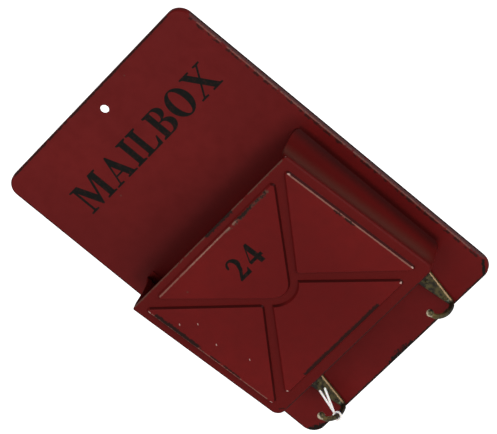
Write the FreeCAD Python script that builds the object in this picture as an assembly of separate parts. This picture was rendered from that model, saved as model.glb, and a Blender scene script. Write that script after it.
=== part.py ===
import FreeCAD, Part
import math
import os

from FreeCAD import Vector

# Wall-hung letter holder of pressed sheet steel: a back plate with a returned rim, a pressed
# pocket whose front is embossed as an envelope, and two cast key hooks under the pocket.
#
# Millimetres.  +X is to the viewer's right, +Z is up and -Y points away from the wall.
# The origin is the centre of the hanging hole, on the back face of the plate's sheet.

# ---- back plate ----------------------------------------------------------------------------
PLATE_WIDTH = 218.0
PLATE_HEIGHT = 312.0
PLATE_SHEET = 1.0
PLATE_RIM_DEPTH = 5.0          # front face to the rim's wall edge
PLATE_CORNER_RADIUS = 12.0
PLATE_BEND_RADIUS = 1.8        # outside of the bend between face and rim
HANGING_HOLE_RADIUS = 3.5
HANGING_HOLE_DROP = 15.0       # top edge of the plate to the hole's centre

# ---- pressed pocket ------------------------------------------------------------------------
POCKET_SIDE_MARGIN = 15.0      # side edge of the plate to the pocket's side wall
POCKET_HEIGHT = 143.5
POCKET_FOOT_RISE = 39.5        # foot edge of the plate to the pocket's floor
POCKET_MOUTH_DEPTH = 47.0      # plate face to pocket front, at the mouth
POCKET_FOOT_DEPTH = 35.0       # the same at the foot
POCKET_SHEET = 0.9
POCKET_SHOULDER_RADIUS = 2.4   # front face to side walls and floor
POCKET_CORNER_RADIUS = 7.5     # side walls to floor
POCKET_MOUTH_ROUNDING = 3.5    # side walls to mouth
POCKET_COVE_START = 3.0        # front face to where a side wall begins to curve inwards
POCKET_COVE_RATIO = 0.17       # at the mouth, how far it curves inwards over its length
POCKET_HEM_HEIGHT = 4.0        # the mouth's edge is folded inwards once
POCKET_FLANGE_WIDTH = 9.0      # turned inwards, against the plate

# ---- envelope embossed on the pocket's front -------------------------------------------------
ENVELOPE_SIDE_MARGIN = 8.7
ENVELOPE_TOP_MARGIN = 7.6
ENVELOPE_FOOT_MARGIN = 10.4
ENVELOPE_RISE = 2.2            # height of the four raised panels
ENVELOPE_SLOPE_RUN = 1.5       # how far a panel's flank spreads over that height
ENVELOPE_CORNER_GAP = 14.2     # along the top or foot edge, between neighbouring panels
ENVELOPE_HUB_HALF_WIDTH = 21.4 # centre line to the point of a side panel
FLAP_POINT_DROP = 10.2         # middle of the envelope to the flap's point, before it is rounded
FLAP_POINT_RADIUS = 14.0
LOWER_POINT_RISE = 9.0         # middle of the envelope to the lower panel's point, before it is cut
HUB_CHANNEL = 8.6              # between the flap's round point and the lower panel
PANEL_CORNER_RADIUS = 1.6
PANEL_CREST_RADIUS = 0.7

# ---- pocket rivets ---------------------------------------------------------------------------
POCKET_RIVET_RADIUS = 1.6
POCKET_RIVET_HEAD_RADIUS = 3.1
POCKET_RIVET_HEAD_HEIGHT = 1.5
POCKET_RIVET_TAIL_RADIUS = 2.7
POCKET_RIVET_TAIL_HEIGHT = 1.0
POCKET_RIVET_END_INSET = 24.0  # mouth or side wall to the nearest rivet

# ---- key hooks -------------------------------------------------------------------------------
HOOK_EDGE_INSET = 43.5         # side edge of the plate to a hook's middle
HOOK_CENTRE_X = -0.8           # middle of the pair, to the viewer's right of the hanging hole
HOOK_TILT = 3.9                # degrees, both feet swung to the viewer's left
HOOK_TOP_GAP = 2.5             # pocket floor to the top of a hook's leaf
LEAF_LENGTH = 35.0
LEAF_TOP_WIDTH = 15.5
LEAF_FOOT_WIDTH = 3.6
LEAF_THICKNESS = 3.2
LEAF_CORNER_RADIUS = 2.0
LEAF_FOOT_ROUNDING = 0.4       # radius of the foot's corners, over the foot's width
LEAF_BEVEL = 0.8
HOOK_WIRE_RADIUS = 2.0
HOOK_HEEL_RADIUS = 3.5         # bend from the leaf to the arm
HOOK_ARM_RADIUS = 46.0         # long curve of the arm
HOOK_ARM_SWEEP = 38.0          # degrees
HOOK_ARM_DROP = 2.0            # leaf's foot down to the arm's underside
HOOK_TIP_RADIUS = 6.4          # tighter curve up to the ball
HOOK_TIP_SWEEP = 60.0          # degrees
HOOK_BALL_RADIUS = 2.9
HOOK_RIVET_RADIUS = 1.1
HOOK_RIVET_HEAD_RADIUS = 2.0
HOOK_RIVET_HEAD_HEIGHT = 0.9
HOOK_RIVET_TOP_DROP = 8.5      # top of the leaf to the upper rivet
HOOK_RIVET_FOOT_RISE = 7.0     # foot of the leaf to the lower rivet

# ---- stiff tie left on the left hook -----------------------------------------------------------
TIE_RADIUS = 0.9
TIE_KNOT_RADIUS = 1.7
TIE_ARM_ANGLE = 19.0           # degrees round the arm's long curve, from its lowest point
TIE_PRONG_LENGTH = 19.5
TIE_PRONG_LEAN = 20.0          # degrees from upright, back towards the plate
TIE_PRONG_SIDE_LEAN = 8.4      # degrees from upright to the viewer's right, nearer prong
TIE_PRONG_SPLAY = 14.2         # degrees between the two prongs

# ---- clearances ------------------------------------------------------------------------------
RIVET_CLEARANCE = 0.05
TIE_CLEARANCE = 0.25
CUT_MARGIN = 1.0               # how far a cutting shape reaches past what it cuts
PANEL_ROOT_DEPTH = 0.5         # how far a raised panel is sunk into the front it stands on
RIVET_TAIL_BEVEL = 0.33

# ---- places that follow from the dimensions above ----------------------------------------------
PLATE_FRONT_Y = -PLATE_SHEET
PLATE_TOP_Z = HANGING_HOLE_DROP
PLATE_FOOT_Z = PLATE_TOP_Z - PLATE_HEIGHT
POCKET_WIDTH = PLATE_WIDTH - 2 * POCKET_SIDE_MARGIN
FLOOR_Z = PLATE_FOOT_Z + POCKET_FOOT_RISE
MOUTH_Z = FLOOR_Z + POCKET_HEIGHT
HOOK_TOP_Z = FLOOR_Z - HOOK_TOP_GAP
LEAF_FOOT_Z = HOOK_TOP_Z - LEAF_LENGTH
FRONT_SLOPE = math.atan2(POCKET_MOUTH_DEPTH - POCKET_FOOT_DEPTH, POCKET_HEIGHT)
FRONT_LENGTH = POCKET_HEIGHT / math.cos(FRONT_SLOPE)
HOOK_REACH_X = PLATE_WIDTH / 2 - HOOK_EDGE_INSET
HOOK_XS = (HOOK_CENTRE_X - HOOK_REACH_X, HOOK_CENTRE_X + HOOK_REACH_X)


def offset_corners(corners, distance):
    """Move every side of a convex, counter-clockwise outline outwards by distance."""
    count = len(corners)
    sides = []
    for index in range(count):
        start = corners[index]
        along = (corners[(index + 1) % count] - start).normalize()
        outward = Vector(along.y, -along.x, 0)
        sides.append((start + outward * distance, along))
    moved = []
    for index in range(count):
        point_a, along_a = sides[index - 1]
        point_b, along_b = sides[index]
        turn = along_a.x * along_b.y - along_a.y * along_b.x
        gap = point_b - point_a
        reach = (gap.x * along_b.y - gap.y * along_b.x) / turn
        moved.append(point_a + along_a * reach)
    return moved


def rounded_wire(corners, radii, height=0.0):
    """Close an outline of straight sides whose corners are rounded with tangent arcs."""
    count = len(corners)
    lift = Vector(0, 0, height)
    arcs = []
    for index in range(count):
        corner = corners[index]
        back = (corners[index - 1] - corner).normalize()
        ahead = (corners[(index + 1) % count] - corner).normalize()
        half = back.getAngle(ahead) / 2
        bisector = (back + ahead).normalize()
        radius = radii[index]
        centre = corner + bisector * (radius / math.sin(half))
        reach = radius / math.tan(half)
        arcs.append((corner + back * reach, centre - bisector * radius, corner + ahead * reach))
    edges = []
    for index in range(count):
        start, middle, end = arcs[index]
        following = arcs[(index + 1) % count][0]
        edges.append(Part.Arc(start + lift, middle + lift, end + lift).toShape())
        edges.append(Part.LineSegment(end + lift, following + lift).toShape())
    return Part.Wire(edges)


def upright(shape):
    """Turn a shape drawn in X and Y, with its height along Z, to X and Z with height along -Y."""
    turned = shape.copy()
    turned.rotate(Vector(0, 0, 0), Vector(1, 0, 0), 90)
    return turned


def edges_where(shape, test):
    """Pick the edges whose two ends and middle all pass a test on their points."""
    picked = []
    for edge in shape.Edges:
        middle = edge.valueAt((edge.FirstParameter + edge.LastParameter) / 2)
        points = [vertex.Point for vertex in edge.Vertexes] + [middle]
        if all(test(point) for point in points):
            picked.append(edge)
    return picked


def rounded_box(width, height, depth, radius, bend):
    """Make a plate-like block, centred in X and Z, with its front at y = 0 and a bent front edge."""
    corners = [Vector(-width / 2, -height / 2, 0), Vector(width / 2, -height / 2, 0),
               Vector(width / 2, height / 2, 0), Vector(-width / 2, height / 2, 0)]
    wire = rounded_wire(corners, [radius] * 4)
    block = Part.Face(wire).extrude(Vector(0, 0, -depth))
    if bend > 0:
        block = block.makeFillet(bend, edges_where(block, lambda point: abs(point.z) < 1e-6))
    return upright(block)


def drill(shape, centres, radius, start_y, end_y):
    """Cut round holes along Y through a shape."""
    for x, z in centres:
        hole = Part.makeCylinder(radius, end_y - start_y, Vector(x, start_y, z), Vector(0, 1, 0))
        shape = shape.cut(hole)
    return shape


def pocket_rivet_places():
    """Centres of the rivets that hold the pocket's flange: two a side and two along the floor."""
    side_x = POCKET_WIDTH / 2 - POCKET_SHEET - POCKET_FLANGE_WIDTH / 2
    foot_z = FLOOR_Z + POCKET_SHEET + POCKET_FLANGE_WIDTH / 2
    upper_z = MOUTH_Z - POCKET_RIVET_END_INSET
    lower_z = FLOOR_Z + POCKET_RIVET_END_INSET
    foot_x = POCKET_WIDTH / 2 - 2 * POCKET_RIVET_END_INSET
    places = []
    for side in (-1, 1):
        places += [(side * side_x, upper_z), (side * side_x, lower_z), (side * foot_x, foot_z)]
    return places


def tilted(point):
    """Swing a point of an upright hook at x = 0 about the middle of the top of its leaf."""
    angle = math.radians(HOOK_TILT)
    down = HOOK_TOP_Z - point.z
    return Vector(point.x * math.cos(angle) - down * math.sin(angle), point.y,
                  HOOK_TOP_Z - down * math.cos(angle) - point.x * math.sin(angle))


def hook_rivet_places(hook_x):
    """Centres of a hook's upper and lower rivets."""
    places = []
    for z in (HOOK_TOP_Z - HOOK_RIVET_TOP_DROP, LEAF_FOOT_Z + HOOK_RIVET_FOOT_RISE):
        place = tilted(Vector(0, 0, z))
        places.append((hook_x + place.x, place.z))
    return places


def make_back_plate():
    """Shallow tray: a flat face whose edges are returned towards the wall, with its holes."""
    middle_z = (PLATE_TOP_Z + PLATE_FOOT_Z) / 2
    outer = rounded_box(PLATE_WIDTH, PLATE_HEIGHT, PLATE_RIM_DEPTH,
                        PLATE_CORNER_RADIUS, PLATE_BEND_RADIUS)
    outer.translate(Vector(0, PLATE_FRONT_Y, middle_z))
    inner = rounded_box(PLATE_WIDTH - 2 * PLATE_SHEET, PLATE_HEIGHT - 2 * PLATE_SHEET,
                        PLATE_RIM_DEPTH, PLATE_CORNER_RADIUS - PLATE_SHEET,
                        PLATE_BEND_RADIUS - PLATE_SHEET)
    inner.translate(Vector(0, 0, middle_z))
    plate = outer.cut(inner)
    front, back = PLATE_FRONT_Y - CUT_MARGIN, CUT_MARGIN
    plate = drill(plate, [(0, 0)], HANGING_HOLE_RADIUS, front, back)
    plate = drill(plate, pocket_rivet_places(), POCKET_RIVET_RADIUS + RIVET_CLEARANCE, front, back)
    for hook_x in HOOK_XS:
        places = hook_rivet_places(hook_x)
        plate = drill(plate, places, HOOK_RIVET_RADIUS + RIVET_CLEARANCE, front, back)
    return plate


def pocket_body(inset, top_z, back_y):
    """Solid wedge of the pocket, every face but its top and back moved inwards by inset."""
    half_width = POCKET_WIDTH / 2 - inset
    floor_z = FLOOR_Z + inset
    normal_inset = inset / math.cos(FRONT_SLOPE)

    def front_y(z):
        depth = POCKET_FOOT_DEPTH + (z - FLOOR_Z) * math.tan(FRONT_SLOPE)
        return PLATE_FRONT_Y - depth + normal_inset

    profile = [Vector(-half_width, back_y, floor_z), Vector(-half_width, front_y(floor_z), floor_z),
               Vector(-half_width, front_y(top_z), top_z), Vector(-half_width, back_y, top_z)]
    wedge = Part.Face(Part.makePolygon(profile + profile[:1])).extrude(Vector(2 * half_width, 0, 0))
    corner_edges = edges_where(wedge, lambda p: abs(p.z - floor_z) < 1e-6
                               and abs(abs(p.x) - half_width) < 1e-6)
    wedge = wedge.makeFillet(POCKET_CORNER_RADIUS - inset, corner_edges)
    shoulder = edges_where(wedge, lambda p: abs(p.y - front_y(p.z)) < 1e-5 and p.z < top_z - 1e-6
                           or abs(p.y - front_y(p.z)) < 1e-5
                           and abs(abs(p.x) - half_width) < 1e-6)
    return wedge.makeFillet(POCKET_SHOULDER_RADIUS - inset, shoulder)


def side_coves(inset):
    """The two leaning rounds that hollow the pocket's side walls, grown outwards by inset."""
    def chord(z):
        """Length of the curved part of a side wall at a height, from front to back."""
        depth = POCKET_FOOT_DEPTH + (z - FLOOR_Z) * math.tan(FRONT_SLOPE)
        return depth - POCKET_COVE_START

    radius = chord(MOUTH_Z) / 2 * (POCKET_COVE_RATIO + 0.25 / POCKET_COVE_RATIO)
    coves = []
    for side in (-1, 1):
        foot, top = [
            Vector(side * (POCKET_WIDTH / 2 + math.sqrt(radius ** 2 - (chord(z) / 2) ** 2)),
                   PLATE_FRONT_Y - chord(z) / 2, z)
            for z in (FLOOR_Z, MOUTH_Z)]
        lean = (top - foot).normalize()
        reach = POCKET_CORNER_RADIUS
        coves.append(Part.makeCylinder(radius + inset, POCKET_HEIGHT + 3 * reach,
                                       foot - lean * reach, lean))
    return coves


def mouth_corners():
    """The two slivers that are cut away to round the ends of the mouth."""
    radius, depth = POCKET_MOUTH_ROUNDING, POCKET_MOUTH_DEPTH + 2 * CUT_MARGIN
    front_y = PLATE_FRONT_Y - POCKET_MOUTH_DEPTH - CUT_MARGIN
    slivers = []
    for side in (-1, 1):
        axis_x = side * (POCKET_WIDTH / 2 - radius)
        block = Part.makeBox(radius + CUT_MARGIN, depth, radius + CUT_MARGIN,
                             Vector(min(axis_x, axis_x + side * (radius + CUT_MARGIN)), front_y,
                                    MOUTH_Z - radius))
        slivers.append(block.cut(Part.makeCylinder(radius, depth,
                                                   Vector(axis_x, front_y, MOUTH_Z - radius),
                                                   Vector(0, 1, 0))))
    return slivers


def on_front(shape):
    """Place a shape drawn about the envelope's middle (X, up, outwards) on the pocket's front."""
    placed = upright(shape)
    placed.rotate(Vector(0, 0, 0), Vector(1, 0, 0), math.degrees(FRONT_SLOPE))
    down = ENVELOPE_TOP_MARGIN + envelope_half_height()
    placed.translate(Vector(0, PLATE_FRONT_Y - POCKET_MOUTH_DEPTH + down * math.sin(FRONT_SLOPE),
                            MOUTH_Z - down * math.cos(FRONT_SLOPE)))
    return placed


def envelope_half_height():
    """Half the embossed height, along the sloping front."""
    return (FRONT_LENGTH - ENVELOPE_TOP_MARGIN - ENVELOPE_FOOT_MARGIN) / 2


def raised_panel(corners, radii, inset, cutter=None):
    """Make one raised panel with sloping flanks and a softened crest.

    With an inset it is the hollow behind the panel, which follows it a sheet's thickness away.
    """
    spread = ENVELOPE_SLOPE_RUN
    base_radii = [radius + spread - inset for radius in radii]
    top_radii = [radius - inset for radius in radii]
    base = rounded_wire(offset_corners(corners, spread - inset), base_radii, -inset)
    crest = rounded_wire(offset_corners(corners, -inset), top_radii, ENVELOPE_RISE - inset)
    root = rounded_wire(offset_corners(corners, spread - inset), base_radii, -inset - PANEL_ROOT_DEPTH)
    panel = Part.makeLoft([base, crest], True, True)
    panel = panel.fuse(Part.makeLoft([root, base], True, True)).removeSplitter()
    crest_z = ENVELOPE_RISE - inset
    crest_edges = edges_where(panel, lambda point: abs(point.z - crest_z) < 1e-6)
    panel = panel.makeFillet(PANEL_CREST_RADIUS - inset / 2, crest_edges)
    return panel if cutter is None else panel.cut(cutter)


def envelope_panels(inset):
    """The flap, the two side panels and the lower panel, placed on the pocket's front."""
    half_width = POCKET_WIDTH / 2 - ENVELOPE_SIDE_MARGIN
    half_height = envelope_half_height()
    edge_x = half_width - ENVELOPE_CORNER_GAP
    small = PANEL_CORNER_RADIUS
    flap = [Vector(0, -FLAP_POINT_DROP, 0), Vector(edge_x, half_height, 0),
            Vector(-edge_x, half_height, 0)]
    lower = [Vector(-edge_x, -half_height, 0), Vector(edge_x, -half_height, 0),
             Vector(0, LOWER_POINT_RISE, 0)]
    right = [Vector(ENVELOPE_HUB_HALF_WIDTH, 0, 0), Vector(half_width, -half_height, 0),
             Vector(half_width, half_height, 0)]
    left = [Vector(-ENVELOPE_HUB_HALF_WIDTH, 0, 0), Vector(-half_width, half_height, 0),
            Vector(-half_width, -half_height, 0)]
    point_half_angle = math.atan2(edge_x, half_height + FLAP_POINT_DROP)
    hub_y = FLAP_POINT_RADIUS / math.sin(point_half_angle) - FLAP_POINT_DROP
    hub_radius = FLAP_POINT_RADIUS + HUB_CHANNEL
    flank = ENVELOPE_SLOPE_RUN / ENVELOPE_RISE
    cut_foot, cut_top = -inset - CUT_MARGIN, ENVELOPE_RISE - inset + CUT_MARGIN
    cutter = Part.makeCone(hub_radius + inset + flank * (cut_foot + inset - ENVELOPE_RISE),
                           hub_radius + inset + flank * (cut_top + inset - ENVELOPE_RISE),
                           cut_top - cut_foot, Vector(0, hub_y, cut_foot))
    panels = [raised_panel(flap, [FLAP_POINT_RADIUS, small, small], inset),
              raised_panel(right, [small] * 3, inset),
              raised_panel(left, [small] * 3, inset),
              raised_panel(lower, [small] * 3, inset, cutter)]
    return [on_front(panel) for panel in panels]


def make_pocket():
    """Pressed pan with coved sides, a hemmed mouth, an embossed front and an inward flange."""
    outer = pocket_body(0.0, MOUTH_Z, PLATE_FRONT_Y).cut(side_coves(0.0))
    for panel in envelope_panels(0.0):
        outer = outer.fuse(panel)
    outer = outer.cut(mouth_corners())
    hollow = pocket_body(POCKET_SHEET, MOUTH_Z - POCKET_HEM_HEIGHT, PLATE_FRONT_Y - POCKET_SHEET)
    hollow = hollow.cut(side_coves(POCKET_SHEET))
    throat = pocket_body(2 * POCKET_SHEET, MOUTH_Z + CUT_MARGIN, PLATE_FRONT_Y - POCKET_SHEET)
    hollow = hollow.fuse(throat.cut(side_coves(2 * POCKET_SHEET)))
    for panel in envelope_panels(POCKET_SHEET):
        hollow = hollow.fuse(panel)
    turned_in = POCKET_SHEET + POCKET_FLANGE_WIDTH
    window = Part.makeBox(POCKET_WIDTH - 2 * turned_in, 2 * POCKET_SHEET, POCKET_HEIGHT,
                          Vector(-POCKET_WIDTH / 2 + turned_in, PLATE_FRONT_Y - POCKET_SHEET,
                                 FLOOR_Z + turned_in))
    pocket = outer.cut(hollow).cut(window)
    return drill(pocket, pocket_rivet_places(), POCKET_RIVET_RADIUS + RIVET_CLEARANCE,
                 PLATE_FRONT_Y - 2 * POCKET_SHEET, PLATE_FRONT_Y + POCKET_SHEET)


def dome(radius, height, centre, direction):
    """Low domed rivet head: the cap of a ball, flat side at centre, rising along direction."""
    ball_radius = (radius * radius + height * height) / (2 * height)
    ball = Part.makeSphere(ball_radius, centre - direction * (ball_radius - height))
    keep = Part.makeCylinder(radius, height, centre, direction)
    return ball.common(keep)


def rivet(x, z, shank_radius, head_y, head_radius, head_height, tail_radius):
    """One rivet: a dome in front, a shank through the plate and a flat tail behind it."""
    shank = Part.makeCylinder(shank_radius, -head_y, Vector(x, head_y, z), Vector(0, 1, 0))
    head = dome(head_radius, head_height, Vector(x, head_y, z), Vector(0, -1, 0))
    tail = Part.makeCylinder(tail_radius, POCKET_RIVET_TAIL_HEIGHT, Vector(x, 0, z), Vector(0, 1, 0))
    tail = tail.makeChamfer(RIVET_TAIL_BEVEL,
                            edges_where(tail, lambda p: p.y > POCKET_RIVET_TAIL_HEIGHT - 1e-6))
    return shank.fuse([head, tail]).removeSplitter()


def make_pocket_rivets():
    """The six rivets through the pocket's flange and the plate."""
    head_y = PLATE_FRONT_Y - POCKET_SHEET
    return Part.makeCompound([
        rivet(x, z, POCKET_RIVET_RADIUS, head_y, POCKET_RIVET_HEAD_RADIUS,
              POCKET_RIVET_HEAD_HEIGHT, POCKET_RIVET_TAIL_RADIUS)
        for x, z in pocket_rivet_places()])


def make_hook_rivets():
    """The four small rivets through the hooks' leaves and the plate."""
    head_y = PLATE_FRONT_Y - LEAF_THICKNESS
    rivets = []
    for hook_x in HOOK_XS:
        for x, z in hook_rivet_places(hook_x):
            rivets.append(rivet(x, z, HOOK_RIVET_RADIUS, head_y, HOOK_RIVET_HEAD_RADIUS,
                                HOOK_RIVET_HEAD_HEIGHT, HOOK_RIVET_HEAD_RADIUS))
    return Part.makeCompound(rivets)


def arm_point(angle):
    """Centre line of an upright hook's arm at x = 0, by the angle it has turned from level."""
    along = math.radians(min(angle, HOOK_ARM_SWEEP))
    out = LEAF_THICKNESS / 2 + HOOK_HEEL_RADIUS + HOOK_ARM_RADIUS * math.sin(along)
    up = HOOK_ARM_RADIUS * (1 - math.cos(along))
    if angle > HOOK_ARM_SWEEP:
        beyond = math.radians(angle)
        out += HOOK_TIP_RADIUS * (math.sin(beyond) - math.sin(along))
        up += HOOK_TIP_RADIUS * (math.cos(along) - math.cos(beyond))
    return Vector(0, PLATE_FRONT_Y - out, LEAF_FOOT_Z - HOOK_ARM_DROP + HOOK_WIRE_RADIUS + up)


def make_hook(hook_x):
    """Cast hook: a tapered leaf on the plate, and a round arm that curves out and up to a ball."""
    top, foot = LEAF_TOP_WIDTH / 2, LEAF_FOOT_WIDTH / 2
    outline = [Vector(-foot, LEAF_FOOT_Z, 0), Vector(foot, LEAF_FOOT_Z, 0),
               Vector(top, HOOK_TOP_Z, 0), Vector(-top, HOOK_TOP_Z, 0)]
    foot_radius = LEAF_FOOT_ROUNDING * LEAF_FOOT_WIDTH
    radii = [foot_radius, foot_radius, LEAF_CORNER_RADIUS, LEAF_CORNER_RADIUS]
    leaf = Part.Face(rounded_wire(outline, radii)).extrude(Vector(0, 0, LEAF_THICKNESS))
    leaf = leaf.makeChamfer(LEAF_BEVEL, edges_where(leaf, lambda p: p.z > LEAF_THICKNESS - 1e-6))
    leaf = upright(leaf)
    leaf.translate(Vector(0, PLATE_FRONT_Y, 0))

    lowest = arm_point(0)
    heel_y = PLATE_FRONT_Y - LEAF_THICKNESS / 2
    heel_z = lowest.z + HOOK_HEEL_RADIUS
    start = Vector(0, heel_y, heel_z)
    diagonal = HOOK_HEEL_RADIUS * (1 - math.sqrt(0.5))
    heel = Part.Arc(start, Vector(0, heel_y - diagonal, lowest.z + diagonal), lowest).toShape()
    arm = Part.Arc(lowest, arm_point(HOOK_ARM_SWEEP / 2), arm_point(HOOK_ARM_SWEEP)).toShape()
    end_angle = HOOK_ARM_SWEEP + HOOK_TIP_SWEEP
    tip = Part.Arc(arm_point(HOOK_ARM_SWEEP), arm_point(HOOK_ARM_SWEEP + HOOK_TIP_SWEEP / 2),
                   arm_point(end_angle)).toShape()
    section = Part.Wire(Part.makeCircle(HOOK_WIRE_RADIUS, start, Vector(0, 0, -1)))
    wire = Part.Wire([heel, arm, tip]).makePipeShell([section], True, False)
    ball = Part.makeSphere(HOOK_BALL_RADIUS, arm_point(end_angle))
    root = Part.makeSphere(HOOK_WIRE_RADIUS, start)
    behind = Part.makeBox(LEAF_TOP_WIDTH, 2 * HOOK_WIRE_RADIUS, LEAF_LENGTH + 2 * HOOK_HEEL_RADIUS,
                          Vector(-LEAF_TOP_WIDTH / 2, PLATE_FRONT_Y, LEAF_FOOT_Z - HOOK_HEEL_RADIUS))
    hook = leaf.fuse([wire, ball, root]).cut(behind)
    hook.rotate(Vector(0, 0, HOOK_TOP_Z), Vector(0, 1, 0), HOOK_TILT)
    hook.translate(Vector(hook_x, 0, 0))
    return drill(hook, hook_rivet_places(hook_x), HOOK_RIVET_RADIUS + RIVET_CLEARANCE,
                 PLATE_FRONT_Y - LEAF_THICKNESS - CUT_MARGIN, CUT_MARGIN)


def make_tie():
    """Stiff plastic tie: one turn round the left hook's arm, a knot and two straight prongs."""
    centre = tilted(arm_point(TIE_ARM_ANGLE)) + Vector(HOOK_XS[0], 0, 0)
    angle = math.radians(TIE_ARM_ANGLE)
    along = Vector(0, -math.cos(angle), math.sin(angle))
    above = Vector(0, math.sin(angle), math.cos(angle))
    turn_radius = HOOK_WIRE_RADIUS + TIE_CLEARANCE + TIE_RADIUS
    turn = Part.makeTorus(turn_radius, TIE_RADIUS, centre, along)
    knot_centre = centre + above * (turn_radius + TIE_KNOT_RADIUS - TIE_RADIUS)
    tie = turn.fuse(Part.makeSphere(TIE_KNOT_RADIUS, knot_centre))
    lean = math.radians(TIE_PRONG_LEAN)
    for degrees in (TIE_PRONG_SIDE_LEAN, TIE_PRONG_SIDE_LEAN + TIE_PRONG_SPLAY):
        side = math.radians(degrees)
        direction = Vector(math.sin(side), math.sin(lean) * math.cos(side),
                           math.cos(lean) * math.cos(side))
        prong = Part.makeCylinder(TIE_RADIUS, TIE_PRONG_LENGTH, knot_centre, direction)
        tip = Part.makeSphere(TIE_RADIUS, knot_centre + direction * TIE_PRONG_LENGTH)
        tie = tie.fuse([prong, tip])
    return tie


def main():
    """Build every piece and write one STEP file for each node."""
    os.makedirs("parts", exist_ok=True)
    nodes = {
        "back_plate": make_back_plate(),
        "envelope_pocket": make_pocket(),
        "pocket_rivets": make_pocket_rivets(),
        "key_hook_left": make_hook(HOOK_XS[0]),
        "key_hook_right": make_hook(HOOK_XS[1]),
        "hook_rivets": make_hook_rivets(),
        "tag_tie": make_tie(),
    }
    for name, shape in nodes.items():
        print(f"{name}: {len(shape.Solids)} solids, {shape.Volume:.1f} mm3, valid {shape.isValid()}")
        shape.exportStep(f"parts/{name}.step")


main()
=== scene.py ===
"""Wall-hung letter holder of painted sheet steel, dressed and lit for its portrait.

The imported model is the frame: every size and place below is read from its boxes, or is a named size
of the part in millimetres.  +X is to the viewer's right, +Z is up and -Y points away from the wall.
"""

import logging
import math
from collections.abc import Callable, Iterable
from dataclasses import dataclass, field
from enum import Enum

import bmesh
import bpy
from mathutils import Matrix, Vector

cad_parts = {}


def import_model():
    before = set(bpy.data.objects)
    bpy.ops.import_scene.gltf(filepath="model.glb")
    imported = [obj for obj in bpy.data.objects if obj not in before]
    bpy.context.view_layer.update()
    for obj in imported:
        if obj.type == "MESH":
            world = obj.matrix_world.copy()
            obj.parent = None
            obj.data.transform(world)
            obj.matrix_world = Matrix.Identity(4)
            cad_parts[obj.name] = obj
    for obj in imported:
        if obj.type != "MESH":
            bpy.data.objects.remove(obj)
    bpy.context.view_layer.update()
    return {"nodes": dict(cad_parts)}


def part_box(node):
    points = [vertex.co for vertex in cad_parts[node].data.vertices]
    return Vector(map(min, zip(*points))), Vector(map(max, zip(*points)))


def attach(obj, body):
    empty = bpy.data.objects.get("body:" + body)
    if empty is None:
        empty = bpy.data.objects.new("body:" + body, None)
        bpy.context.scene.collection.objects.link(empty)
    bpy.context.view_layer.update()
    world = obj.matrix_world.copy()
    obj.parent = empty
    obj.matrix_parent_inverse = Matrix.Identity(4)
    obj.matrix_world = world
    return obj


LOG = logging.getLogger("letter_holder")
MM = 0.001


# ---- colours and node helpers ----


def srgb(code: str) -> tuple[float, float, float, float]:
    """Turn a paint-chart colour into linear light, along the standard sRGB curve.

    Args:
        code: six hexadecimal digits.

    Returns:
        The linear colour with a full alpha.
    """
    channels = [int(code[place : place + 2], 16) / 255 for place in (0, 2, 4)]
    linear = [c / 12.92 if c <= 0.04045 else ((c + 0.055) / 1.055) ** 2.4 for c in channels]
    return (linear[0], linear[1], linear[2], 1.0)


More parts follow.
